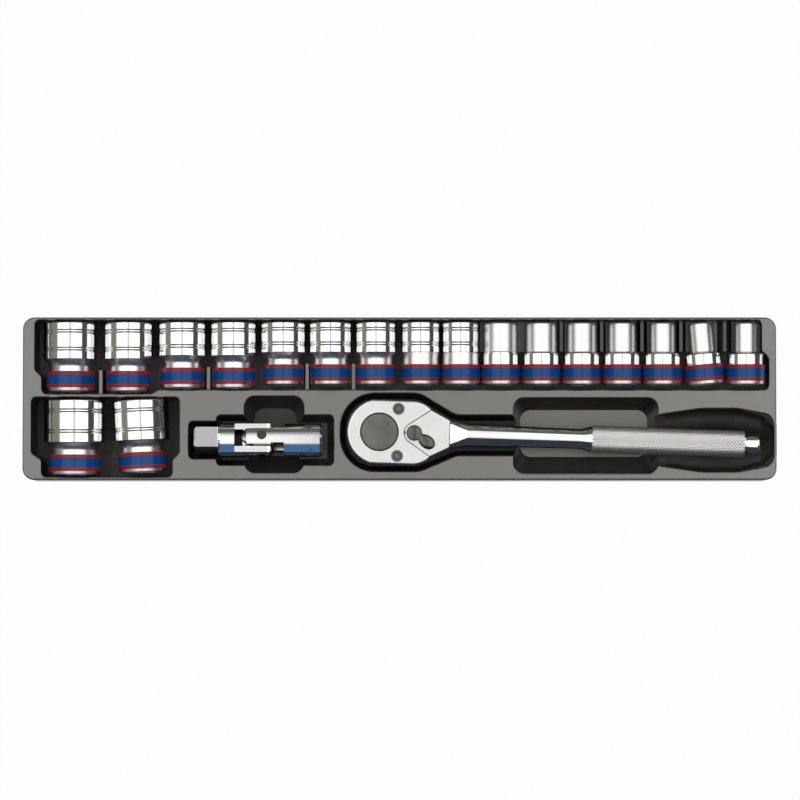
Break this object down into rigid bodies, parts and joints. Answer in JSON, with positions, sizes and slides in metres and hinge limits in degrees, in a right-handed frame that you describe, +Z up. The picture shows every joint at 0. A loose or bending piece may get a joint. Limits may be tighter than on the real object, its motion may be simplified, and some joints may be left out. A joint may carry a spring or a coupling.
{
  "type": "socket wrench set",
  "caption": "Half-inch drive socket set in an open formed tray: lift-out hexagon sockets with banded collars, a reversible ratchet and a universal joint.",
  "frame": {"origin": "middle of the tray's footprint, on the surface it rests on", "axes": "+X along the tray towards the ratchet's handle end, +Y towards the row of sockets, +Z up"},
  "size_m": [0.46, 0.1, 0.0435],
  "materials": {
    "tray_plastic": "black formed sheet, fine matt grain",
    "socket_chrome": "mirror chrome with painted blue and red band on the collar",
    "ratchet_chrome": "satin chrome head, bright shank and knurled grip",
    "phosphated_steel": "dark phosphate",
    "joint_chrome": "bright chrome",
    "ground_steel": "ground",
    "spring_steel": "oiled wire"
  },
  "bodies": {
    "tray": {"tray": "tray_plastic"},
    "socket_24": {"socket_24": "socket_chrome"},
    "socket_23": {"socket_23": "socket_chrome"},
    "socket_22": {"socket_22": "socket_chrome"},
    "socket_21": {"socket_21": "socket_chrome"},
    "socket_20": {"socket_20": "socket_chrome"},
    "socket_19": {"socket_19": "socket_chrome"},
    "socket_18": {"socket_18": "socket_chrome"},
    "socket_17": {"socket_17": "socket_chrome"},
    "socket_16": {"socket_16": "socket_chrome"},
    "socket_15": {"socket_15": "socket_chrome"},
    "socket_14": {"socket_14": "socket_chrome"},
    "socket_13": {"socket_13": "socket_chrome"},
    "socket_12": {"socket_12": "socket_chrome"},
    "socket_11": {"socket_11": "socket_chrome"},
    "socket_10": {"socket_10": "socket_chrome"},
    "socket_09": {"socket_09": "socket_chrome"},
    "socket_28": {"socket_28": "socket_chrome"},
    "socket_26": {"socket_26": "socket_chrome"},
    "ratchet": {"ratchet_body": "ratchet_chrome", "cover_plate": "ratchet_chrome", "cover_screws": "phosphated_steel", "pawl_pin": "ground_steel"},
    "gear": {"drive_gear": "phosphated_steel", "drive_ball_spring": "spring_steel"},
    "drive_ball": {"drive_ball": "ground_steel"},
    "lever": {"reversing_lever": "phosphated_steel", "plunger_spring": "spring_steel"},
    "plunger": {"lever_plunger": "ground_steel"},
    "pawl": {"pawl": "phosphated_steel"},
    "joint_male": {"joint_male_yoke": "joint_chrome", "joint_ball_spring": "spring_steel"},
    "joint_ball": {"joint_ball": "ground_steel"},
    "joint_cross": {"joint_block": "ground_steel", "joint_long_pin": "ground_steel", "joint_short_pins": "ground_steel"},
    "joint_female": {"joint_female_yoke": "joint_chrome"}
  },
  "joints": [
    {"name": "socket_24_lift", "type": "slide", "parent": "tray", "child": "socket_24", "axis": [0, 0, 1], "range_m": [0, 0.04]},
    {"name": "socket_23_lift", "type": "slide", "parent": "tray", "child": "socket_23", "axis": [0, 0, 1], "range_m": [0, 0.04]},
    {"name": "socket_22_lift", "type": "slide", "parent": "tray", "child": "socket_22", "axis": [0, 0, 1], "range_m": [0, 0.04]},
    {"name": "socket_21_lift", "type": "slide", "parent": "tray", "child": "socket_21", "axis": [0, 0, 1], "range_m": [0, 0.04]},
    {"name": "socket_20_lift", "type": "slide", "parent": "tray", "child": "socket_20", "axis": [0, 0, 1], "range_m": [0, 0.04]},
    {"name": "socket_19_lift", "type": "slide", "parent": "tray", "child": "socket_19", "axis": [0, 0, 1], "range_m": [0, 0.04]},
    {"name": "socket_18_lift", "type": "slide", "parent": "tray", "child": "socket_18", "axis": [0, 0, 1], "range_m": [0, 0.04]},
    {"name": "socket_17_lift", "type": "slide", "parent": "tray", "child": "socket_17", "axis": [0, 0, 1], "range_m": [0, 0.04]},
    {"name": "socket_16_lift", "type": "slide", "parent": "tray", "child": "socket_16", "axis": [0, 0, 1], "range_m": [0, 0.04]},
    {"name": "socket_15_lift", "type": "slide", "parent": "tray", "child": "socket_15", "axis": [0, 0, 1], "range_m": [0, 0.04]},
    {"name": "socket_14_lift", "type": "slide", "parent": "tray", "child": "socket_14", "axis": [0, 0, 1], "range_m": [0, 0.04]},
    {"name": "socket_13_lift", "type": "slide", "parent": "tray", "child": "socket_13", "axis": [0, 0, 1], "range_m": [0, 0.04]},
    {"name": "socket_12_lift", "type": "slide", "parent": "tray", "child": "socket_12", "axis": [0, 0, 1], "range_m": [0, 0.04]},
    {"name": "socket_11_lift", "type": "slide", "parent": "tray", "child": "socket_11", "axis": [0, 0, 1], "range_m": [0, 0.04]},
    {"name": "socket_10_lift", "type": "slide", "parent": "tray", "child": "socket_10", "axis": [0, 0, 1], "range_m": [0, 0.04]},
    {"name": "socket_09_lift", "type": "slide", "parent": "tray", "child": "socket_09", "axis": [0, 0, 1], "range_m": [0, 0.04]},
    {"name": "socket_28_lift", "type": "slide", "parent": "tray", "child": "socket_28", "axis": [0, 0, 1], "range_m": [0, 0.04]},
    {"name": "socket_26_lift", "type": "slide", "parent": "tray", "child": "socket_26", "axis": [0, 0, 1], "range_m": [0, 0.04]},
    {"name": "ratchet_lift", "type": "slide", "parent": "tray", "child": "ratchet", "axis": [0, 0, 1], "range_m": [0, 0.04]},
    {"name": "gear_spin", "type": "hinge", "parent": "ratchet", "child": "gear", "pos_m": [-0.0122, -0.0205, 0.0317], "axis": [0, 0, 1], "continuous": true},
    {"name": "drive_ball_press", "type": "slide", "parent": "gear", "child": "drive_ball", "axis": [-0.9995, 0.0332, 0], "range_m": [0, 0.001], "stiffness_N_per_m": 400, "springref_m": -0.001},
    {"name": "lever_swing", "type": "hinge", "parent": "ratchet", "child": "lever", "pos_m": [0.00899, -0.0212, 0.0317], "axis": [0, 0, 1], "range_deg": [0, 76]},
    {"name": "plunger_press", "type": "slide", "parent": "lever", "child": "plunger", "axis": [-0.7672, 0.6414, 0], "range_m": [0, 0.0009]},
    {"name": "pawl_rock", "type": "hinge", "parent": "ratchet", "child": "pawl", "pos_m": [0.00269, -0.02099, 0.0317], "axis": [0, 0, 1], "range_deg": [-14, 1]},
    {"name": "joint_lift", "type": "slide", "parent": "tray", "child": "joint_male", "axis": [0, 0, 1], "range_m": [0, 0.04]},
    {"name": "joint_ball_press", "type": "slide", "parent": "joint_male", "child": "joint_ball", "axis": [0, 0.319, 0.9478], "range_m": [0, 0.001], "stiffness_N_per_m": 400, "springref_m": -0.001},
    {"name": "joint_rise", "type": "hinge", "parent": "joint_male", "child": "joint_cross", "pos_m": [-0.0835, -0.0254, 0.0318], "axis": [0, -0.9478, 0.319], "range_deg": [0, 45]},
    {"name": "joint_swing", "type": "hinge", "parent": "joint_cross", "child": "joint_female", "pos_m": [-0.0835, -0.0254, 0.0318], "axis": [0, 0.319, 0.9478], "range_deg": [-5, 5]}
  ],
  "couplings": [
    {"joint": "pawl_rock", "follows": "lever_swing", "ratio": -0.1579}
  ]
}
